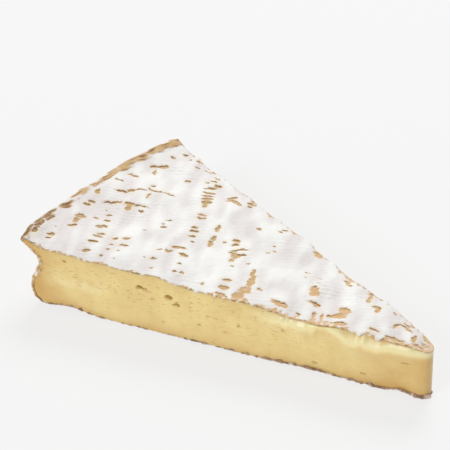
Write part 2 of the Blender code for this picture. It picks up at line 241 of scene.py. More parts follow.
@dataclass(frozen=True)
class WedgeForm:
    """The wedge's main sizes in millimetres, and the surfaces that follow from them."""

    length: float = 180.0
    rim_width: float = 102.0
    point_radius: float = 4.0
    point_height: float = 25.4
    rim_height: float = 30.4
    lip_rise: float = 1.3
    lip_reach: float = 5.0
    point_droop: float = 2.2
    point_reach: float = 6.0
    broad_wave: float = 31.0
    pucker_wave: float = 11.0
    edge_sag: float = 0.7
    edge_reach: float = 4.0
    rest_x: tuple[float, float] = (-70.0, 70.0)
    rest_inset: float = 5.0
    foot_curl: float = 0.4
    curl_reach: float = 6.0
    bulge_out: float = 1.2
    bulge_at: tuple[float, float] = (52.0, 19.0)
    bulge_reach: tuple[float, float] = (34.0, 6.5)
    cut_wave: float = 16.0
    cut_rise: float = 0.7
    side_wave: float = 9.0
    side_rise: float = 1.1

    @property
    def point_x(self) -> float:
        """Where the wedge ends."""
        return self.length / 2

    @property
    def point_centre_x(self) -> float:
        """Middle of the half-round point."""
        return self.point_x - self.point_radius

    @cached_property
    def half_angle(self) -> float:
        """Half the angle between the two cuts."""
        half = self.rim_width / 2
        run = self.point_centre_x - self.point_x + math.sqrt(self.length**2 - half**2)
        return math.atan2(half, run) - math.asin(self.point_radius / math.hypot(half, run))

    @cached_property
    def meeting_x(self) -> float:
        """The x where the planes of the two cuts would meet."""
        return self.point_centre_x + self.point_radius / math.sin(self.half_angle)

    def cut_distance(self, x: Numbers, y: Numbers) -> Numbers:
        """How far a point lies inside the nearer cut, straight through the point."""
        sine, cosine = math.sin(self.half_angle), math.cos(self.half_angle)
        return (self.meeting_x - x) * sine - np.abs(y) * cosine

    def outline_distance(self, x: Numbers, y: Numbers) -> Numbers:
        """How far a point lies inside the cuts and the rounded point.

        Args:
            x: Place along the wedge.
            y: Place across it.

        Returns:
            Millimetres, negative outside.
        """
        ahead, aside = x - self.point_centre_x, np.abs(y)
        round_zone = ahead * math.cos(self.half_angle) > aside * math.sin(self.half_angle)
        return np.where(
            round_zone, self.point_radius - np.hypot(ahead, aside), self.cut_distance(x, y)
        )

    def from_point(self, x: Numbers, y: Numbers) -> Numbers:
        """Distance from the wedge's end, seen from above."""
        return np.hypot(self.point_x - x, y)

    def top(self, x: Numbers, y: Numbers) -> Numbers:
        """Height of the rind's top, with the raised lip, the swells and the sagging edges.

        Args:
            x: Place along the wedge.
            y: Place across it.

        Returns:
            Millimetres above the table.
        """
        away = self.from_point(x, y)
        slope = (self.rim_height - self.point_height) / self.length
        height = self.point_height + slope * (self.point_x - x)
        lip = self.lip_rise + sum(rise * bell(y - place, reach) for place, reach, rise in LIP_WAVES)
        height = height + lip * bell(self.length - away, self.lip_reach)
        height -= self.point_droop * bell(away, self.point_reach)
        for place_x, place_y, half_length, half_width, rise in TOP_SWELLS:
            height += rise * bell(x - place_x, half_length) * bell(y - place_y, half_width)
        height += ripple(x, y, self.broad_wave, 0.3) + ripple(x, y, self.pucker_wave, 4.7)
        sag = self.edge_sag * (1 + ripple(x, y, self.pucker_wave, 8.1))
        return height - sag * bell(self.cut_distance(x, y), self.edge_reach)

    def base(self, x: Numbers, y: Numbers) -> Numbers:
        """Height of the underside: flat on the table, with curled edges arched beside the cuts.

        Args:
            x: Place along the wedge.
            y: Place across it.

        Returns:
            Millimetres above the table.
        """
        arches = sum(rise * bell(x - place, reach) for place, reach, rise in FOOT_ARCHES)
        near_cut = np.maximum(1 - self.cut_distance(x, y) / self.rest_inset, 0)
        beyond = np.maximum(self.rest_x[0] - x, x - self.rest_x[1])
        near_end = np.clip(beyond / self.curl_reach, 0, 1)
        return np.maximum(near_cut * (self.foot_curl + arches), near_end * self.foot_curl)

    def rim_inset(self, share: Numbers) -> Numbers:
        """How far the rim's side stands in from the lip.

        Args:
            share: Height as a share of the wedge's height there.

        Returns:
            Millimetres, for each share.
        """
        inset = np.full(np.shape(share), RIM_PROFILE[-1][1], float)
        for (low, start), (high, end) in reversed(list(zip(RIM_PROFILE, RIM_PROFILE[1:]))):
            inset = np.where(share <= high, start + (end - start) * ease(share, low, high), inset)
        return inset

    def cut_bulge(self, x: Numbers, z: Numbers, share: Numbers, side: int) -> Numbers:
        """How far a cut swells out of its plane.

        Args:
            x: Place along the wedge.
            z: Height.
            share: Height as a share of the wedge's height there.
            side: -1 for the near cut and 1 for the far one.

        Returns:
            Millimetres outwards, for each point.
        """
        swell = self.bulge_out * bell(x - self.bulge_at[0], self.bulge_reach[0])
        swell = swell * bell(z - self.bulge_at[1], self.bulge_reach[1])
        wave = self.cut_rise * ripple(x, z, self.cut_wave, 20 + side)
        return swell + wave * np.sin(np.pi * np.clip(share, 0, 1))


@dataclass(frozen=True)
class RindSurface:
    """The fine relief of the rind: reed prints, rubbed places and the mould's own folds."""

    groove: float = 0.5
    fold: float = 0.5
    lump: float = 0.3
    pucker: float = 0.16
    reed: float = 0.1
    warp: float = 0.6
    warp_waves: tuple[float, float] = (2.9, 1.3)
    spread: float = 0.15
    halo_reach: float = 1.3
    fold_turn: float = -66.0
    fold_stretch: float = 2.6
    fold_wave: float = 5.2

    def rubbed(self, x: Numbers, y: Numbers) -> tuple[Numbers, Numbers]:
        """Where the mould is rubbed off.

        Args:
            x: Place along the wedge.
            y: Place across it.

        Returns:
            How bare the skin is, and how thin the mould is round about, from 0 to about 1.
        """
        broad, fine = self.warp_waves
        worn_x = x + self.warp * (ripple(x, y, broad, 41.3) + ripple(x, y, fine, 43.3))
        worn_y = y + self.warp * (ripple(x, y, broad, 47.9) + ripple(x, y, fine, 49.9))
        worn, halo = np.zeros(np.shape(x)), np.zeros(np.shape(x))
        for place_x, place_y, half_length, half_width, turn, strength in RUBBED_PLACES:
            ahead, aside = turned(worn_x - place_x, worn_y - place_y, turn)
            within, about = (
                (ahead / (half_length + wider)) ** 2 + (aside / (half_width + wider)) ** 2
                for wider in (self.spread, self.halo_reach)
            )
            worn = np.maximum(worn, strength / (1 + 0.75 * within**1.6))
            halo = np.maximum(halo, strength * np.exp(-0.9 * about))
        return worn, halo

    def folds(self, x: Numbers, y: Numbers) -> Numbers:
        """The mould's soft folds, drawn out along the columns of prints."""
        ahead, aside = turned(x, y, self.fold_turn)
        return ripple(ahead / self.fold_stretch, aside, self.fold_wave, 53.1)

    def relief(self, x: Numbers, y: Numbers, worn: Numbers) -> Numbers:
        """Height of the fine relief above the wedge's smooth top.

        Args:
            x: Place along the wedge.
            y: Place across it.
            worn: How bare the skin is there.

        Returns:
            Millimetres up, for each point.
        """
        across_reeds = turned(x, y, REED_TURN)[1] / REED_PITCH
        reeds = np.cos(2 * np.pi * (across_reeds + 0.5 * ripple(x, y, 14, 61.7)))
        printed = ease(ripple(x, y, 17, 67.3), -0.25, 0.35)
        height = self.fold * self.folds(x, y) + self.pucker * ripple(x, y, 2.3, 71.9)
        height += self.lump * ripple(x, y, 6.3, 75.1)
        height += self.reed * printed * reeds - self.groove * ease(worn, 0.25, 0.8)
        return height


def metre_mesh(name: str, points: Numbers, faces: Numbers) -> bpy.types.Mesh:
    """Makes a smooth-shaded mesh.

    Args:
        name: The mesh's name.
        points: The points in millimetres, one to a row.
        faces: The corners of each four-sided face.

    Returns:
        The mesh, in metres.
    """
    mesh = bpy.data.meshes.new(name)
    mesh.vertices.add(len(points))
    mesh.vertices.foreach_set("co", (points * MM).astype(np.float32).ravel())
    mesh.loops.add(faces.size)
    mesh.loops.foreach_set("vertex_index", faces.astype(np.int32).ravel())
    mesh.polygons.add(len(faces))
    mesh.polygons.foreach_set("loop_start", np.arange(0, faces.size, 4, dtype=np.int32))
    mesh.update(calc_edges=True)
    mesh.validate()
    mesh.shade_smooth()
    return mesh


def main_part(points: Numbers, faces: Numbers) -> tuple[Numbers, Numbers]:
    """Leaves out the crumbs: every group of faces but the largest that hangs together.

    Args:
        points: The points, one to a row.
        faces: The corners of each four-sided face.

    Returns:
        The points that are left and the faces with their new corners.
    """
    group, before = np.arange(len(points)), None
    while before is None or (group != before).any():
        before = group.copy()
        np.minimum.at(group, faces.ravel(), np.repeat(group[faces].min(axis=1), 4))
        group = group[group]
    of_face = group[faces[:, 0]]
    faces = faces[of_face == np.bincount(of_face).argmax()]
    used, corners = np.unique(faces, return_inverse=True)
    return points[used], corners.reshape(-1, 4)


def read_points(mesh: bpy.types.Mesh) -> Numbers:
    """Reads a mesh's points.

    Args:
        mesh: The mesh, in metres.

    Returns:
        The points in millimetres, one to a row.
    """
    points = np.empty(len(mesh.vertices) * 3, np.float32)
    mesh.vertices.foreach_get("co", points)
    return points.reshape(-1, 3).astype(float) / MM


def thin_out(mesh: bpy.types.Mesh, spare: Numbers) -> bpy.types.Mesh:
    """Brings a mesh within the triangle budget.

    Args:
        mesh: The mesh of four-sided faces, which is replaced.
        spare: How readily each point may go, from 0 to 1.

    Returns:
        A mesh of the same name with fewer faces where points could go.
    """
    name = mesh.name
    ratio = TRIANGLE_BUDGET / (2 * len(mesh.polygons))
    if ratio >= 1:
        return mesh
    piece = bpy.data.objects.new("dense", mesh)
    bpy.context.scene.collection.objects.link(piece)
    group = piece.vertex_groups.new(name="spare")
    steps = np.round(np.clip(spare, 0, 1) * SPARE_STEPS).astype(int)
    for step in range(1, SPARE_STEPS + 1):
        group.add(np.flatnonzero(steps == step).tolist(), step / SPARE_STEPS, "REPLACE")
    thinner = piece.modifiers.new("thinner", "DECIMATE")
    thinner.ratio = ratio
    thinner.vertex_group = group.name
    seen = piece.evaluated_get(bpy.context.evaluated_depsgraph_get())
    thinned = bpy.data.meshes.new_from_object(seen)
    bpy.data.objects.remove(piece)
    bpy.data.meshes.remove(mesh)
    thinned.name = name
    thinned.shade_smooth()
    return thinned


def store_zones(mesh: bpy.types.Mesh, *channels: Numbers) -> None:
    """Keeps values at each point as the colour attribute "zones", where the finish reads them.

    Args:
        mesh: The mesh.
        *channels: Up to four rows of values from 0 to 1, one value for each point.
    """
    values = np.zeros((len(mesh.vertices), 4), np.float32)
    for index, channel in enumerate(channels):
        values[:, index] = np.clip(channel, 0, 1)
    layer = mesh.color_attributes.new("zones", "FLOAT_COLOR", "POINT")
    layer.data.foreach_set("color", values.ravel())


def place_piece(mesh: bpy.types.Mesh, finish: bpy.types.Material) -> bpy.types.Object:
    """Puts a mesh in the scene as a piece that rides on the wedge's body in its place.

    Args:
        mesh: The mesh, whose name the piece takes.
        finish: Its material.

    Returns:
        The piece.
    """
    piece = bpy.data.objects.new(mesh.name, mesh)
    bpy.context.scene.collection.objects.link(piece)
    mesh.materials.append(finish)
    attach(piece, BODY)
    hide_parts(NODE)
    return piece


@dataclass(frozen=True)
class Voxels:
    """An even grid of cells in which a skin is worked out as depths below its surface."""

    low: tuple[float, float, float]
    high: tuple[float, float, float]
    cell: float
    margin: float = 3.0  # depths are told apart up to this far from the surface

    @classmethod
    def around(cls, form: WedgeForm, floor: float, ceiling: float, cell: float) -> "Voxels":
        """The grid round a wedge between two heights."""
        half_length, half_width = form.length / 2 + 2, form.rim_width / 2 + 3
        return cls((-half_length, -half_width, floor), (half_length, half_width, ceiling), cell)

    @cached_property
    def axes(self) -> tuple[Numbers, Numbers, Numbers]:
        """The places of the grid's points along x, y and z."""
        return tuple(np.arange(low, high, self.cell) for low, high in zip(self.low, self.high))

    def mesh(self, name: str, depth: Numbers) -> bpy.types.Mesh:
        """The surface at which the depth is zero.

        Args:
            name: The mesh's name.
            depth: Millimetres inside the skin at each grid point, negative outside.

        Returns:
            A closed mesh of four-sided faces.
        """
        grid = openvdb.FloatGrid(self.margin)
        grid.copyFromArray(np.clip(-depth, -self.margin, self.margin).astype(np.float32))
        points, faces = grid.convertToQuads(isovalue=0.0)
        points, faces = main_part(np.asarray(points), np.asarray(faces).astype(int)[:, ::-1])
        return metre_mesh(name, points * self.cell + np.array(self.low), faces)


class Side(Enum):
    """The two cuts, by the sign of their y."""

    NEAR = -1
    FAR = 1

    @property
    def hem(self) -> tuple[tuple[float, float], ...]:
        """Where the torn rind ends on this cut."""
        return NEAR_HEM if self is Side.NEAR else FAR_HEM

    @property
    def gaps(self) -> tuple[tuple[float, float, float], ...]:
        """Where the mould is torn away above this hem."""
        return NEAR_GAPS if self is Side.NEAR else FAR_GAPS

    @property
    def eyes(self) -> tuple[tuple[float, ...], ...]:
        """The holes in this cut."""
        return NEAR_EYES if self is Side.NEAR else FAR_EYES

    def eye_reaches(self, x: Numbers, z: Numbers) -> Iterator[tuple[Numbers, float]]:
        """For each hole: how far points lie from its middle, in half sizes, and its depth."""
        for place_x, place_z, half_length, half_height, depth in self.eyes:
            yield np.hypot((x - place_x) / half_length, (z - place_z) / half_height), depth


def at_nearer_cut(y: Numbers, measure: Callable[[Side], Numbers]) -> Numbers:
    """Takes a measure at the near cut where y is negative, and at the far one elsewhere."""
    return np.where(y < 0, measure(Side.NEAR), measure(Side.FAR))


@dataclass(frozen=True)
class Hem:
    """The torn end of the rind on a cut: the skin ends first, and the mould above it in tongues."""

    form: WedgeForm
    lift: float = 0.6
    proud: float = 1.0
    mould_step: float = 0.45
    outline: float = 0.1
    gap_share: float = 0.7
    step: float = 0.1
    tongue: float = 1.4
    tongue_wave: float = 3.8
    tatter: float = 0.4

    def smooth(self, x: Numbers, side: Side) -> Numbers:
        """Height of the hem without its tatters, raised where the paste swells out.

        Args:
            x: Place along the wedge.
            side: The cut.

        Returns:
            Millimetres above the table.
        """
        places, heights = np.array(side.hem).T
        swell = self.form.bulge_out * bell(x - self.form.bulge_at[0], self.form.bulge_reach[0])
        return np.interp(x, places, heights) + self.lift * (self.proud + 0.6 * swell)

    @cached_property
    def torn(self) -> dict[Side, tuple[Numbers, Numbers, Numbers]]:
        """For each cut: places along x, where the skin ends, and the gap up to the mould."""
        x = np.arange(-self.form.length / 2 - 4, self.form.length / 2 + 4, self.step)
        lines = {}
        for side in Side:
            reach = self.tongue + 0.3 * ease(x, -15, 25)
            folded = np.abs(ripple(x, 0.0, self.tongue_wave, 81.0 + side.value))
            tongues = reach * (0.5 - 2.3 * folded)
            tatters = self.tatter * ripple(x, 0.0, 1.1, 84.0 + side.value)
            gap = self.outline + 0.2 * (1 + ripple(x, 0.0, 1.4, 86.0 + side.value))
            for middle, half_length, high in side.gaps:
                gap = gap + self.gap_share * high * np.exp(-np.abs((x - middle) / half_length) ** 3)
            frayed = ease(ripple(x, 0.0, 2.3, 89.0 + side.value), 0.05, 0.4)
            gap += frayed * (0.4 + 0.6 * ease(x, 0, 25))
            lines[side] = (x, self.smooth(x, side) + tongues + tatters, gap)
        return lines

    def height(self, x: Numbers, side: Side) -> Numbers:
        """Height at which the skin ends."""
        return np.interp(x, self.torn[side][0], self.torn[side][1])

    def bare(self, x: Numbers, inside: Numbers, z: Numbers, side: Side) -> Numbers:
        """Where the skin lies bare between the hem and the mould.

        Args:
            x: Place along the wedge.
            inside: How far the point lies inside the cut.
            z: Height.
            side: The cut.

        Returns:
            0 under mould, 1 on bare skin.
        """
        along = np.maximum(z - self.height(x, side), 0) + 0.8 * np.maximum(inside, 0)
        gap = np.interp(x, self.torn[side][0], self.torn[side][2])
        return ease(gap - along, -0.25, 0.3)


@dataclass(frozen=True)
class TopRind:
    """The rind over the top, its torn hems on the cuts and the rind down the rim."""

    form: WedgeForm
    surface: RindSurface
    hem: Hem
    cell: float = 0.42
    thickness: float = 1.3
    thin_edge: float = 0.6
    edge_reach: float = 4.0
    edge_relief: tuple[float, float] = (0.45, 0.55)  # share at the cuts, and what is added inwards
    side_blend: float = 6.0
    side_lumps: float = 0.35
    flap_depth: float = 1.1
    heel_wrap: float = 1.7
    wrap_heights: tuple[float, float] = (8.0, 14.0)
    foot_gap: float = 0.25
    band_inset: tuple[float, float] = (0.8, 3.0)
    band_reach: float = 2.5
    # Shift towards the back that finds each rubbed place's back edge, where painted shadow lies under
    # the mould's lip
    lip_shadow_shift: tuple[float, float] = (-0.3, 0.38)
    thin_above: float = 0.8

    def skin(self, inside_cut: Numbers) -> Numbers:
        """Thickness of the rind, which the knife squeezed thin along the cuts."""
        swell = (self.thickness - self.thin_edge) * ease(inside_cut, 0.5, self.edge_reach)
        return self.thin_edge + swell

    def edge_bare(self, x: Numbers, y: Numbers, z: Numbers) -> Numbers:
        """Where the skin lies bare along the hems, from 0 to 1."""
        inside = self.form.outline_distance(x, y)
        return at_nearer_cut(y, lambda side: self.hem.bare(x, inside, z, side))

    def relief(self, x: Numbers, y: Numbers, top: Numbers) -> Numbers:
        """The top's fine relief, which is softer beside the cuts.

        Args:
            x: Place along the wedge.
            y: Place across it.
            top: Height of the smooth top there.

        Returns:
            Millimetres up, for each point.
        """
        worn = np.maximum(self.surface.rubbed(x, y)[0], 0.7 * self.edge_bare(x, y, top))
        away = ease(self.form.outline_distance(x, y), 0, self.edge_reach)
        kept, grown = self.edge_relief
        return self.surface.relief(x, y, worn) * (kept + grown * away)

    def rim_swell(self, voxels: Voxels) -> Numbers:
        """How far the rim's side swells out at each y and z of the grid."""
        y, z = np.meshgrid(*voxels.axes[1:], indexing="ij")
        broad = self.form.side_rise * ripple(y, z, self.form.side_wave, 30.5)
        return broad + self.side_lumps * ripple(y, z, 3.1, 33.5)

    def depths(self, voxels: Voxels) -> Numbers:
        """Works out how deep each grid point lies in the rind.

        Args:
            voxels: The grid.

        Returns:
            Millimetres inside the rind, negative outside.
        """
        form, hem = self.form, self.hem
        xs, ys, zs = voxels.axes
        x, y = np.meshgrid(xs, ys, indexing="ij")
        x_side, z_side = np.meshgrid(xs, zs, indexing="ij")
        z = zs[None, None, :]
        top, base, edge = form.top(x, y), form.base(x, y), form.outline_distance(x, y)
        far = np.clip(ys / self.side_blend + 0.5, 0, 1)[None, :, None]
        near = 1 - far

        # Millimetres below the top, inside the cuts and inside the rim's side
        below_top = (top + self.relief(x, y, top))[..., None] - z
        share = np.clip(z_side / form.rim_height, 0, 1)
        bulges = [form.cut_bulge(x_side, z_side, share, side.value)[:, None, :] for side in Side]
        inside_cut = edge[..., None] + (bulges[0] * near + bulges[1] * far)
        share = np.clip((z - base[..., None]) / (top - base)[..., None], 0, 1)
        inside_rim = form.length - form.from_point(x, y)[..., None] - form.rim_inset(share)
        inside_rim += self.rim_swell(voxels)[None] * np.sin(np.pi * share)

        # The skin over the top and down the rim
        outer = soft_min(below_top, inside_rim * 0.8, 1.2)
        depth = np.minimum(outer, self.skin(edge)[..., None] - outer)
        depth = soft_min(depth, inside_cut + 0.15, 0.4)

        # The flap that hangs over each cut down to the torn hem
        hems = [hem.height(xs, side)[:, None, None] for side in Side]
        above_hem = z - hems[0] * near - hems[1] * far
        level = np.zeros_like(z_side)
        bares = [hem.bare(x_side, level, z_side, side)[:, None, :] for side in Side]
        bare = bares[0] * near + bares[1] * far
        proud = hem.proud * (0.55 + 0.45 * ease(above_hem, 0.0, 1.8)) - hem.mould_step * bare
        flap = soft_min(soft_min(below_top, inside_cut + proud, 0.9), above_hem * 0.9, 0.3)
        flap = np.minimum(flap, np.minimum(self.flap_depth - inside_cut, inside_rim))
        depth = soft_max(depth, flap, 0.25)

        # The curl of the rim's rind round the ends of the cuts
        wrap = self.heel_wrap * (0.9 + 1.2 * ripple(zs, 0.0, 2.6, 91.0))
        wrap = wrap * (0.4 + 0.6 * ease(zs, *self.wrap_heights))
        curl = np.minimum(np.minimum(wrap - inside_rim, inside_rim), below_top)
        curl = np.minimum(soft_min(curl, inside_cut + 0.5, 0.4), self.flap_depth - inside_cut)
        depth = soft_max(depth, curl, 0.3)
        return np.minimum(depth, (z - base[..., None]) - self.foot_gap)

    def side_wear(self, y: Numbers, z: Numbers, inside_cut: Numbers, on_side: Numbers) -> Numbers:
        """Where the mould is rubbed off the rim's side, in patches that lie along it.

        Args:
            y: Place across the wedge.
            z: Height.
            inside_cut: How far each point lies inside the cuts.
            on_side: How far it belongs to the side, from 0 to 1.

        Returns:
            How bare the skin is, from 0 to about 1.
        """
        rows = ripple(y, z * 2.4, 4.2, 95.0) + 0.7 * ripple(y, z, 9, 97.0)
        curled = ease(inside_cut, 3, 0.5) * ease(z, 5, 11)
        worn = on_side * ease(rows + 0.25 * (1 - z / 30), -0.05, 0.75) * 0.95
        return worn * (1 - 0.8 * curled)

    def rim_band(
        self, x: Numbers, y: Numbers, inside_rim: Numbers, on_top: Numbers
    ) -> tuple[Numbers, Numbers]:
        """The striped band that is rubbed and browned along the top's rim.

        Args:
            x: Place along the wedge.
            y: Place across it.
            inside_rim: How far each point lies inside the rim.
            on_top: How far it belongs to the top, from 0 to 1.

        Returns:
            How bare the skin is, and how dark, from 0 to about 1.
        """
        near, far = self.band_inset
        inset = near + (far - near) * ease(y, -26, -12)
        stripes = ripple(inside_rim * 2.6, y - 1.6 * inside_rim, 4.0, 101.0)
        band = bell(inside_rim - inset, self.band_reach) * on_top
        band *= 0.66 + 0.3 * ease(y, -4, 14) + 0.5 * ripple(x, y, 4.5, 99.0) + 0.6 * stripes
        return band, band * ease(stripes, 0.0, 0.35) * (0.75 + 0.35 * ease(y, -16, -28))

    def zones(self, points: Numbers) -> tuple[Numbers, Numbers, Numbers, Numbers]:
        """What the finish needs at each point.

        Args:
            points: The points in millimetres, one to a row.

        Returns:
            Bare skin, browned skin with painted shadow, painted shade and thin mould at each point, from
            0 to 1.
        """
        form = self.form
        x, y, z = points.T
        top, base = form.top(x, y), form.base(x, y)
        inside_cut = form.outline_distance(x, y)
        inside_rim = form.length - form.from_point(x, y)
        below = top - z
        on_top = ease(3.0 - below, 0, 1.5)
        on_side = ease(below, 2.5, 4.5) * ease(inside_rim, 12, 9)

        # Bare skin: the rubbed places, the torn hems, the rim's side and the band along the rim
        rubbed, halo = self.surface.rubbed(x, y)
        mottled = 0.62 + 0.5 * ripple(x, y + z, 1.6, 105.0)
        band, dark = self.rim_band(x, y, inside_rim, on_top)
        side_worn = self.side_wear(y, z, inside_cut, on_side)
        bare = self.edge_bare(x, y, z) * mottled
        worn = np.maximum.reduce([rubbed * on_top, bare, side_worn, band])

        # Browned skin: the torn edges, the foot, the band and the rim's near corner; and painted shadow
        # along the back edge of each rubbed place, under the mould's lip
        hem_height = at_nearer_cut(y, lambda side: self.hem.height(x, side))
        torn = bell(z - hem_height, 0.6) * ease(inside_cut, 1.0, 0.2)
        edges = (0.4 + 0.35 * ease(ripple(x, y, 3.1, 93.0), -0.4, 0.3)) * torn
        foot = 0.7 * ease(z - base, 6, 1.0) * on_side
        behind = self.surface.rubbed(x + self.lip_shadow_shift[0], y + self.lip_shadow_shift[1])[0]
        lip_shadow = ease(rubbed, 0.4, 0.6) * ease(behind, 0.6, 0.4) * on_top
        singed = 0.85 * rubbed * on_top * ease(x, -79, -82) * ease(y, -8, -18)
        browned_and_shadowed = np.maximum.reduce([edges, foot, 0.9 * lip_shadow, dark, singed])

        # Painted shade: greyer in the hollows between the folds, over a broad patch near the heel and
        # towards the point, lighter in the middle; and mould round the bare places is thin
        painted_shade_and_mottle = 0.45 - 1.2 * self.surface.folds(x, y) + 0.4 * ripple(x, y, 12, 103.0)
        painted_shade_and_mottle += 0.8 * bell(x + 76, 13) * bell(y + 22, 26) - 0.6 * bell(x + 15, 14) * bell(y + 5, 10)
        painted_shade_and_mottle += 0.35 * ease(x, 45, 65)
        corner = 0.8 * bell(x + 82, 5) * bell(y + 46, 6) * on_top
        beside = 0.8 * self.edge_bare(x, y, z - self.thin_above)
        return worn, browned_and_shadowed, painted_shade_and_mottle, np.maximum.reduce([halo * on_top, beside, corner])

    def spare(self, points: Numbers) -> Numbers:
        """How readily each point may go: the hidden inner face first, and no point near a hem."""
        x, y, z = points.T
        inside_cut = self.form.outline_distance(x, y)
        hidden = ease(self.form.top(x, y) - z, 0.7, 1.0) * ease(inside_cut, 1.6, 2.6)
        return np.maximum(hidden, 0.25 * ease(inside_cut, 2, 5))

    def build(self, finish: bpy.types.Material) -> bpy.types.Object:
        """Makes the piece and dresses it.

        Args:
            finish: Its material.

        Returns:
            The piece.
        """
        voxels = Voxels.around(self.form, -0.5, 36.0, self.cell)
        mesh = voxels.mesh("rind_top", self.depths(voxels))
        mesh = thin_out(mesh, self.spare(read_points(mesh)))
        store_zones(mesh, *self.zones(read_points(mesh)))
        return place_piece(mesh, finish)


@dataclass(frozen=True)
class BaseRind:
    """The rind under the wedge, with the crumbs and tatters that show along the cuts."""

    form: WedgeForm
    cell: float = 0.6
    thickness: float = 0.95
    foot: float = 9.0

    def ragged(self, x: Numbers, y: Numbers) -> Numbers:
        """How far the torn edge stands out of the cuts."""
        edge = 0.15 + 0.5 * ripple(x, y, 5.2, 111.0) + 0.9 * ripple(x, y, 1.7, 113.0)
        return edge + 0.35 * bell(self.form.from_point(x, y), self.foot)

    def depths(self, voxels: Voxels) -> Numbers:
        """Works out how deep each grid point lies in the rind.

        Args:
            voxels: The grid.

        Returns:
            Millimetres inside the rind, negative outside.
        """
        form = self.form
        xs, ys, zs = voxels.axes
        x, y = np.meshgrid(xs, ys, indexing="ij")
        z = zs[None, None, :]
        base = form.base(x, y)
        edge = form.outline_distance(x, y)
        climb = 0.8 * ease(ripple(x, y, 3.6, 117.0), -0.1, 0.6) * ease(edge, 2.5, 0.5)
        climb += 0.9 * bell(form.from_point(x, y) - 5, 5)
        thick = self.thickness + climb + 0.3 * ripple(x, y, 1.7, 119.0)
        above = z - (base + 0.02)[..., None]
        inside = np.minimum(edge + self.ragged(x, y), form.length - 9.6 - form.from_point(x, y))
        depth = np.minimum(above, thick[..., None] - above)
        return soft_min(depth, inside[..., None], 0.5)

    def zones(self, points: Numbers) -> tuple[Numbers, Numbers, Numbers, Numbers]:
        """What the finish needs at each point.

        Args:
            points: The points in millimetres, one to a row.

        Returns:
            How bare, browned, mottled and thin the mould is at each point, from 0 to 1.
        """
        x, y, _ = points.T
        worn = 0.62 + 0.6 * ripple(x, y, 4.5, 121.0) + 0.5 * ripple(x, y, 1.5, 123.0)
        spots = ripple(x, y, 2.4, 125.0) + 0.4 * ripple(x, y, 9, 127.0)
        browned_and_shadowed = 0.25 + 0.5 * ease(spots, -0.3, 0.5)
        # Greyer mottling at random
        painted_shade_and_mottle = 0.5 + 0.5 * ripple(x, y, 4, 129.0)
        return worn, browned_and_shadowed, painted_shade_and_mottle, np.full(len(x), 0.8)

    def build(self, finish: bpy.types.Material) -> bpy.types.Object:
        """Makes the piece and dresses it.

        Args:
            finish: Its material.

        Returns:
            The piece.
        """
        voxels = Voxels.around(self.form, -0.9, 7.0, self.cell)
        mesh = voxels.mesh("rind_base", self.depths(voxels))
        store_zones(mesh, *self.zones(read_points(mesh)))
        return place_piece(mesh, finish)


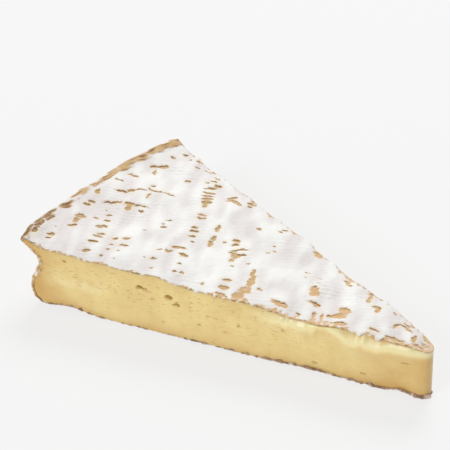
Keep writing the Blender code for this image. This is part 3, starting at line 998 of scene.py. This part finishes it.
@dataclass(frozen=True)
class PasteBody:
    """The soft paste inside the rind, with the eyes, pores and slits on its two cuts."""

    form: WedgeForm
    hem: Hem
    counts: tuple[int, int, int] = (410, 14, 66)
    under_top: float = 2.2
    under_edge: float = 0.6
    under_rim: float = 0.8
    over_base: float = 0.45
    roll: float = 1.8
    roll_below: float = 2.8
    roll_reach: float = 5.0
    roll_starts: tuple[float, float] = (12.0, 34.0)
    roll_ends: tuple[float, float] = (88.0, 82.0)
    far_roll: float = 0.4
    crease: float = 0.5
    drag: float = 0.16
    grain: float = 0.07
    slit_depth: float = 0.5
    slit_height: float = 19.5
    slit_reach: float = 6.0
    eye_rim: float = 0.1
    ripe_and_shade_cap: float = 0.8

    def cut_relief(self, x: Numbers, z: Numbers, side: Side) -> Numbers:
        """Fine relief of a cut: the soft roll under the hem, eyes, pores and the knife's drag.

        Args:
            x: Place along the wedge.
            z: Height.
            side: The cut.

        Returns:
            Millimetres outwards, for each point.
        """
        under_hem = self.hem.smooth(x, side) + 0.5 * ripple(x, 0.0, 7.0, 129.5) - z
        soft = ease(x, *self.roll_starts) * ease(x, *self.roll_ends)
        soft = soft * (1.0 if side is Side.NEAR else self.far_roll)
        ramp = np.maximum(under_hem, 0) / self.roll_below
        ramp = soft_min(ramp, np.ones_like(ramp), 0.3)
        fade = bell(np.maximum(under_hem - self.roll_below, 0), self.roll_reach)
        height = soft * (self.roll * ramp * fade - self.crease)
        rough = 1 - 0.8 * soft * bell(under_hem - 0.5 * self.roll_below, self.roll_below)
        height += rough * self.drag * ripple(x / 2.2, z, 2.4, 131.0 + side.value)
        height += rough * self.grain * ripple(x / 1.8, z, 0.9, 134.0 + side.value)
        band = bell(z - self.slit_height, self.slit_reach) * ease(x, 42, 15)
        slits = ease(ripple(x / 2.6, z, 0.9, 137.0 + side.value), 0.3, 0.6)
        height -= self.slit_depth * slits * band
        for reach, depth in side.eye_reaches(x, z):
            height -= depth * ease(reach, 1.15, 0.45)
            height += self.eye_rim * bell(reach - 1.35, 0.3)
        return height

    def shape(self, along: Numbers, across: Numbers, up: Numbers) -> Numbers:
        """Bends a block of points to the wedge inside its rind.

        Args:
            along: Share of the way from the rim to the point.
            across: -1 on the near cut to 1 on the far one.
            up: Share of the way from the base to the top.

        Returns:
            The points in millimetres, one to a row.
        """
        form = self.form
        angle = across * form.half_angle
        away = np.stack([-np.cos(angle), np.sin(angle)], 1)
        share = (up + 0.5 * (1 - np.cos(np.pi * up))) / 2
        rim_radius = form.length - form.rim_inset(share) - self.under_rim
        offset = form.meeting_x - form.point_x
        rim = offset * np.cos(angle) + np.sqrt(rim_radius**2 - (offset * np.sin(angle)) ** 2)
        inner = form.meeting_x - form.point_centre_x
        sunk = np.maximum(form.point_radius**2 - (inner * np.sin(angle)) ** 2, 0)
        reach = rim + (inner * np.cos(angle) - np.sqrt(sunk) - rim) * along
        x, y = form.meeting_x + away[:, 0] * reach, away[:, 1] * reach
        inside = ease(form.outline_distance(x, y), 0.3, 3.0)
        low = form.base(x, y) + self.over_base
        high = form.top(x, y) - self.under_edge - (self.under_top - self.under_edge) * inside
        z = low + (high - low) * share
        for side in Side:
            cut = across == side.value
            out = form.cut_bulge(x[cut], z[cut], share[cut], side.value)
            out += self.cut_relief(x[cut], z[cut], side)
            x[cut] += out * math.sin(form.half_angle)
            y[cut] += out * math.cos(form.half_angle) * side.value
        return np.stack([x, y, z], 1)

    def zones(self, points: Numbers) -> tuple[Numbers, Numbers, Numbers, Numbers]:
        """What the finish needs at each point.

        Args:
            points: The points in millimetres, one to a row.

        Returns:
            Ripeness mixed with painted shade, painted shade inside the eyes, chalkiness mixed with a
            painted highlight, and how full of pores each point is, from 0 to 1.
        """
        form = self.form
        x, y, z = points.T
        share = np.clip(z / form.rim_height, 0, 1)
        inside_rim = form.length - form.from_point(x, y) - form.rim_inset(share)
        inside_rim = np.maximum(inside_rim - 0.5, 0)
        from_top, low = form.top(x, y) - z, z - form.base(x, y)
        # Darker amber paste near the top, the underside and the rim: partly ripening under the rind,
        # partly painted shade in the crease under the hem and in the curl along the foot. It is also
        # darker towards the point.
        ripe_and_shade = 0.35 * np.exp(-np.maximum(from_top, 0) / 2.2) + 0.8 * np.exp(-low / 2.6)
        rim_share = 0.6 * np.exp(-inside_rim / 3.0) + 0.75 * np.exp(-inside_rim / 10)
        ripe_and_shade = ripe_and_shade + rim_share * (1.3 - 0.8 * share) + 0.42 * ease(x, 45, 80)
        ripe_and_shade = soft_min(ripe_and_shade, np.full(len(x), self.ripe_and_shade_cap), 0.3)
        # Painted shade inside the eyes, deeper where the holes are deeper
        shade = np.zeros(len(x))
        for side in Side:
            here = y * side.value > 0
            for reach, depth in side.eye_reaches(x, z):
                shade = np.maximum(shade, here * min(depth, 1.3) * 0.75 * ease(reach, 1.25, 0.5))
        # Chalky paste in the middle of the thick half
        chalk_and_highlight = 0.55 * bell(x + 57, 14) * bell(z - 15.5, 4.5)
        chalk_and_highlight = chalk_and_highlight * ease(ripple(x, z, 4.0, 151.0), -0.6, 0.5)
        # Painted highlight: a pale band along the soft roll under the hem on both cuts, where the paste
        # is also kept from darkening and from pores
        hem_height = at_nearer_cut(y, lambda side: self.hem.smooth(x, side))
        roll = ease(x, 10, 34) * bell(hem_height - z - self.roll_below, 0.75 * self.roll_below)
        chalk_and_highlight = np.maximum(chalk_and_highlight, 0.85 * roll)
        ripe_and_shade = ripe_and_shade * (1 - 0.9 * roll)
        pores = (0.3 + 0.7 * bell(z - 19, 6) * ease(x, 45, 20)) * (1 - roll)
        return ripe_and_shade, shade, chalk_and_highlight, pores

    def block(self) -> tuple[Numbers, Numbers]:
        """Makes the six sides of a block of cells.

        Returns:
            The block's points as whole steps, and the corners of its faces.
        """
        blocks, faces, offset = [], [], 0
        for axis in range(3):
            first, second = (a for a in range(3) if a != axis)
            n, m = self.counts[first], self.counts[second]
            rows, columns = np.meshgrid(np.arange(n + 1), np.arange(m + 1), indexing="ij")
            for end in (0, 1):
                cells = np.zeros((rows.size, 3), int)
                cells[:, first], cells[:, second] = rows.ravel(), columns.ravel()
                cells[:, axis] = end * self.counts[axis]
                corner = (np.arange(n)[:, None] * (m + 1) + np.arange(m)).ravel() + offset
                quad = np.stack([corner, corner + m + 1, corner + m + 2, corner + 1], 1)
                flip = (end == 1) == (axis == 1)
                faces.append(quad[:, ::-1] if flip else quad)
                blocks.append(cells)
                offset += len(cells)
        unique, index = np.unique(np.concatenate(blocks), axis=0, return_inverse=True)
        return unique, index.ravel()[np.concatenate(faces)]

    def build(self, finish: bpy.types.Material) -> bpy.types.Object:
        """Makes the piece and dresses it.

        Args:
            finish: Its material.

        Returns:
            The piece.
        """
        steps, quads = self.block()
        along, across, up = (steps / np.array(self.counts)).T
        points = self.shape(along, np.round(across * 2 - 1, 6), up)
        mesh = metre_mesh("paste", points, quads)
        store_zones(mesh, *self.zones(points))
        return place_piece(mesh, finish)


def linear(hex_code: str) -> tuple[float, float, float, float]:
    """Turns an sRGB hex colour to linear light.

    Args:
        hex_code: The colour, such as "#c3a067".

    Returns:
        Red, green, blue and alpha, from 0 to 1.
    """
    values = [int(hex_code[place : place + 2], 16) / 255 for place in (1, 3, 5)]
    light = [v / 12.92 if v <= 0.04045 else ((v + 0.055) / 1.055) ** 2.4 for v in values]
    return (*light, 1.0)


class FinishNodes:
    """The nodes of a new material, with short ways to add the kinds that come up often."""

    def __init__(self, name: str) -> None:
        """Makes the material with its shader."""
        self.material = bpy.data.materials.new(name)
        self.material.use_nodes = True
        self.tree = self.material.node_tree
        self.shader = self.tree.nodes["Principled BSDF"]

    def feed(self, node: bpy.types.Node, inputs: dict) -> None:
        """Feeds a node.

        Args:
            node: The node.
            inputs: Socket names or numbers, with the value or the output that feeds each.
        """
        for socket, value in inputs.items():
            if isinstance(value, bpy.types.NodeSocket):
                self.tree.links.new(value, node.inputs[socket])
            else:
                node.inputs[socket].default_value = value

    def add(self, kind: str, inputs: dict, **settings) -> bpy.types.NodeOutputs:
        """Adds a node.

        Args:
            kind: The node's type, without its common prefix.
            inputs: What feeds its sockets.
            **settings: Properties of the node itself.

        Returns:
            The new node's outputs.
        """
        made = self.tree.nodes.new("ShaderNode" + kind)
        for name, value in settings.items():
            setattr(made, name, value)
        self.feed(made, inputs)
        return made.outputs

    def sources(self) -> tuple[bpy.types.NodeSocket, ...]:
        """The place on the piece, then the four zones that are stored at its points."""
        place = self.add("TexCoord", {})["Object"]
        zones = self.add("Attribute", {}, attribute_name="zones")
        parts = self.add("SeparateColor", {"Color": zones["Color"]})
        return place, *parts[:3], zones["Alpha"]

    def grain(self, place: Feed, scale: float, detail: float = 2.0) -> bpy.types.NodeSocket:
        """Adds soft noise, with the scale in swells per metre."""
        return self.add("TexNoise", {"Vector": place, "Scale": scale, "Detail": detail})[0]

    def join(self, way: str, first: Feed, second: Feed, **settings) -> bpy.types.NodeSocket:
        """Adds a sum, difference or product of two values."""
        return self.add("Math", {0: first, 1: second}, operation=way, **settings)[0]

    def remap(
        self, value: Feed, old: tuple = (0.0, 1.0), new: tuple = (0.0, 1.0), **settings
    ) -> bpy.types.NodeSocket:
        """Adds a step that turns one range of values into another and keeps within it."""
        inputs = dict(enumerate((value, *old, *new)))
        return self.add("MapRange", inputs, **settings)[0]

    def mix(self, share: Feed, under: Feed | str, over: Feed | str) -> bpy.types.NodeSocket:
        """Lays one colour over another by a share; a hex code stands for an even colour."""
        under, over = (linear(c) if isinstance(c, str) else c for c in (under, over))
        return self.add("Mix", {0: share, 6: under, 7: over}, data_type="RGBA")[2]

    def bump(self, strength: float, step: float, height: Feed, **under: Feed) -> bpy.types.NodeSocket:
        """Adds a bump of the given height in metres, on top of another bump if one is given."""
        inputs = {"Strength": strength, "Distance": step, "Height": height, **under}
        return self.add("Bump", inputs)[0]


@dataclass(frozen=True)
class MouldRind:
    """White mould grown on a washed, dried skin: matt down, with the tan skin where it is rubbed."""

    name: str = "white_mould_rind"
    bloom: str = "#fcfbf7"
    # Greyer down: painted shade in the hollows of the top, random mottling on the underside
    painted_shade_and_mottle: str = "#ebe5e3"
    thin: str = "#f4e6cf"
    skin: str = "#c3a067"
    warm_skin: str = "#dcb27a"
    crust_and_shadow: str = "#86603a"
    streak_stretch: float = 3.5
    bare_from: tuple[float, float] = (0.34, 0.68)
    thin_from: tuple[float, float] = (0.3, 0.95)
    crust_and_shadow_from: tuple[float, float] = (0.2, 0.95)
    warm_from: tuple[float, float] = (-0.02, 0.05)  # metres along the wedge

    def make(self) -> bpy.types.Material:
        """The finished material."""
        nodes = FinishNodes(self.name)
        place, worn, browned_and_shadowed, painted_shade_and_mottle, thin = nodes.sources()

        # Streaks about 1 mm by 3.5 mm along the reeds, and tufts of down about 0.7 mm across,
        # break up every edge between mould and skin
        turn = (0, 0, math.radians(REED_TURN))
        reeds = {"Vector": place, "Rotation": turn, "Scale": (self.streak_stretch, 1.0, 1.0)}
        reeds = nodes.add("Mapping", reeds, vector_type="TEXTURE")[0]
        streaks = nodes.remap(nodes.grain(reeds, 900.0), new=(-0.34, 0.34))
        tufts = nodes.remap(nodes.grain(place, 1400.0), new=(-0.22, 0.22))
        swing = nodes.join("ADD", streaks, tufts)
        sharp = nodes.join("ADD", worn, swing)
        bare = nodes.remap(sharp, self.bare_from, interpolation_type="SMOOTHSTEP")
        faded = nodes.remap(nodes.join("ADD", thin, swing), self.thin_from, (0.0, 0.85))
        crust_and_shadow_share = nodes.remap(nodes.join("ADD", browned_and_shadowed, tufts), self.crust_and_shadow_from)

        # The skin is golden towards the rim and more orange towards the point
        along = nodes.add("SeparateXYZ", {0: place})[0]
        warm = nodes.remap(along, self.warm_from, (-0.2, 0.7))
        warm = nodes.join("ADD", warm, nodes.grain(place, 160.0), use_clamp=True)
        skin = nodes.mix(warm, self.skin, self.warm_skin)
        skin = nodes.mix(nodes.remap(swing, (0.0, 0.2), (0.0, 0.55)), skin, self.thin)
        # Painted shade: the down turns greyer where the zones say so
        colour = nodes.mix(painted_shade_and_mottle, self.bloom, self.painted_shade_and_mottle)
        colour = nodes.mix(faded, colour, self.thin)
        colour = nodes.mix(bare, colour, skin)
        # Browned skin, and painted shadow along the back edge of each rubbed place
        colour = nodes.mix(crust_and_shadow_share, colour, self.crust_and_shadow)

        # Down of about 0.4 mm over wrinkles of about 1.5 mm, and the step down to the bare skin
        edge = nodes.bump(0.5, 0.0003, nodes.join("SUBTRACT", 1.0, bare))
        broad = nodes.bump(0.45, 0.0005, nodes.grain(place, 650.0), Normal=edge)
        fine = nodes.bump(0.4, 0.0002, nodes.grain(place, 2400.0), Normal=broad)

        # The down scatters light evenly, and the bare skin has a dull gloss
        nodes.feed(nodes.shader, {
            "Base Color": colour, "Roughness": nodes.remap(bare, new=(0.92, 0.6)),
            "Specular IOR Level": 0.25, "Sheen Weight": 0.15, "Subsurface Weight": 0.12,
            "Subsurface Scale": 0.0012, "Subsurface Radius": (1.0, 0.9, 0.8), "Normal": fine,
        })
        return nodes.material


@dataclass(frozen=True)
class RipePaste:
    """Ripe soft paste, cut with a wire: moist, slightly see-through, with a soft gloss."""

    heart: str = "#f0d893"
    ripe_and_shade: str = "#cd9b4c"
    chalk_and_highlight: str = "#fdefba"
    painted_eye_shade: str = "#b58322"
    painted_slit_shade: str = "#c79f4e"
    slit_stretch: float = 3.6
    slits_from: tuple[float, float] = (0.6, 0.72)

    def make(self) -> bpy.types.Material:
        """The finished material."""
        nodes = FinishNodes("ripe_paste")
        place, ripe_and_shade, shade, chalk_and_highlight, pores = nodes.sources()
        cloud = nodes.remap(nodes.grain(place, 90.0, 3.0), (0.3, 0.7), (-0.12, 0.2))
        ripe_and_shade_clouded = nodes.join("ADD", ripe_and_shade, cloud, use_clamp=True)

        # Flat slits about 1.5 mm by 0.4 mm that the wire dragged open
        flat = {"Vector": place, "Scale": (self.slit_stretch, self.slit_stretch, 1.0)}
        flat = nodes.add("Mapping", flat, vector_type="TEXTURE")[0]
        slits = nodes.remap(nodes.grain(flat, 1500.0), self.slits_from)
        slits = nodes.join("MULTIPLY", slits, pores)

        # Darker amber: partly ripening under the rind, partly painted shade
        colour = nodes.mix(ripe_and_shade_clouded, self.heart, self.ripe_and_shade)
        # Chalky paste, and a painted highlight along the roll under the hem
        colour = nodes.mix(chalk_and_highlight, colour, self.chalk_and_highlight)
        # Painted shade in the slits
        colour = nodes.mix(slits, colour, self.painted_slit_shade)
        # Painted shade inside the eyes
        colour = nodes.mix(shade, colour, self.painted_eye_shade)

        # Curd grain of about 1 mm, broken by the slits
        curd = nodes.join("SUBTRACT", nodes.grain(place, 1000.0, 3.0), slits)
        nodes.feed(nodes.shader, {
            "Base Color": colour, "Roughness": 0.36, "IOR": 1.45, "Coat Weight": 0.4,
            "Coat Roughness": 0.28, "Subsurface Weight": 0.35, "Subsurface Scale": 0.003,
            "Subsurface Radius": (1.0, 0.75, 0.3), "Normal": nodes.bump(0.3, 0.00008, curd),
        })
        return nodes.material


@dataclass(frozen=True)
class SoftBox:
    """One square studio light with a large diffuser."""

    name: str
    place: tuple[float, float, float]
    size: float
    power: float

    def add(self, target: Vector) -> None:
        """Hangs the light at its place.

        Args:
            target: The place that it is turned to.
        """
        data = bpy.data.lights.new(self.name, "AREA")
        data.shape = "SQUARE"
        data.size = self.size
        data.energy = self.power
        lamp = bpy.data.objects.new(self.name, data)
        bpy.context.scene.collection.objects.link(lamp)
        lamp.location = self.place
        lamp.rotation_euler = (target - Vector(self.place)).to_track_quat("-Z", "Y").to_euler()


@dataclass(frozen=True)
class Studio:
    """The pale floor, the soft light and the camera at the photograph's angle."""

    lens: float = 200.0
    azimuth: float = 38.54
    elevation: float = 33.39
    distance: float = 1.086
    target: tuple[float, float, float] = (-0.0426, 0.0352, 0.010)
    floor_half: float = 6.0
    paper: str = "#7c7c7c"
    paper_glow: float = 0.72
    air: str = "#f6f6f6"
    air_strength: float = 0.38
    boxes: tuple[SoftBox, ...] = (
        SoftBox("back_softbox", (-0.55, 1.3, 1.35), 0.9, 24.0),
        SoftBox("front_softbox", (-0.16, -1.76, 1.2), 0.7, 18.0),
    )

    def build(self) -> None:
        """Sets up everything round the wedge."""
        scene = bpy.context.scene
        scene.view_settings.view_transform = "Standard"
        world = bpy.data.worlds.new("studio_air")
        world.use_nodes = True
        scene.world = world
        background = world.node_tree.nodes["Background"]
        background.inputs["Color"].default_value = linear(self.air)
        background.inputs["Strength"].default_value = self.air_strength
        for box in self.boxes:
            box.add(Vector((0, 0, 0.015)))
        self.add_floor()
        self.add_camera()

    def add_floor(self) -> None:
        """A wide sheet of matt paper, lit from below so that it stays pale."""
        half = self.floor_half
        corners = [(-half, -half, 0), (half, -half, 0), (half, half, 0), (-half, half, 0)]
        mesh = bpy.data.meshes.new("paper_floor")
        mesh.from_pydata(corners, [], [(0, 1, 2, 3)])
        floor = bpy.data.objects.new("paper_floor", mesh)
        bpy.context.scene.collection.objects.link(floor)
        material = bpy.data.materials.new("matt_paper")
        material.use_nodes = True
        shader = material.node_tree.nodes["Principled BSDF"]
        shader.inputs["Base Color"].default_value = linear(self.paper)
        shader.inputs["Roughness"].default_value = 0.9
        shader.inputs["Specular IOR Level"].default_value = 0.0
        shader.inputs["Emission Color"].default_value = (1.0, 1.0, 1.0, 1.0)
        shader.inputs["Emission Strength"].default_value = self.paper_glow
        mesh.materials.append(material)

    def add_camera(self) -> None:
        """The camera, at the photograph's viewing angle."""
        data = bpy.data.cameras.new("camera")
        data.lens = self.lens
        camera = bpy.data.objects.new("camera", data)
        bpy.context.scene.collection.objects.link(camera)
        turn, rise = math.radians(self.azimuth), math.radians(self.elevation)
        flat = math.cos(rise)
        back = Vector((math.sin(turn) * flat, -math.cos(turn) * flat, math.sin(rise)))
        camera.location = Vector(self.target) + back * self.distance
        camera.rotation_euler = back.to_track_quat("Z", "Y").to_euler()
        bpy.context.scene.camera = camera


def main() -> None:
    """Builds the studio and the wedge's pieces."""
    logging.basicConfig(level=logging.INFO, format="%(message)s")
    Studio().build()
    form = WedgeForm()
    hem = Hem(form)
    rind = MouldRind().make()
    pressed = MouldRind(
        "pressed_rind", bloom="#efe3d6", painted_shade_and_mottle="#e2cfbf", thin="#dcc4a8",
        skin="#b3916c", warm_skin="#ab8a6c", crust_and_shadow="#7d5d49",
    ).make()
    pieces = [
        PasteBody(form, hem).build(RipePaste().make()),
        TopRind(form, RindSurface(), hem).build(rind),
        BaseRind(form).build(pressed),
    ]
    for piece in pieces:
        LOG.info("%s: %d faces", piece.name, len(piece.data.polygons))


if __name__ == "__main__":
    main()
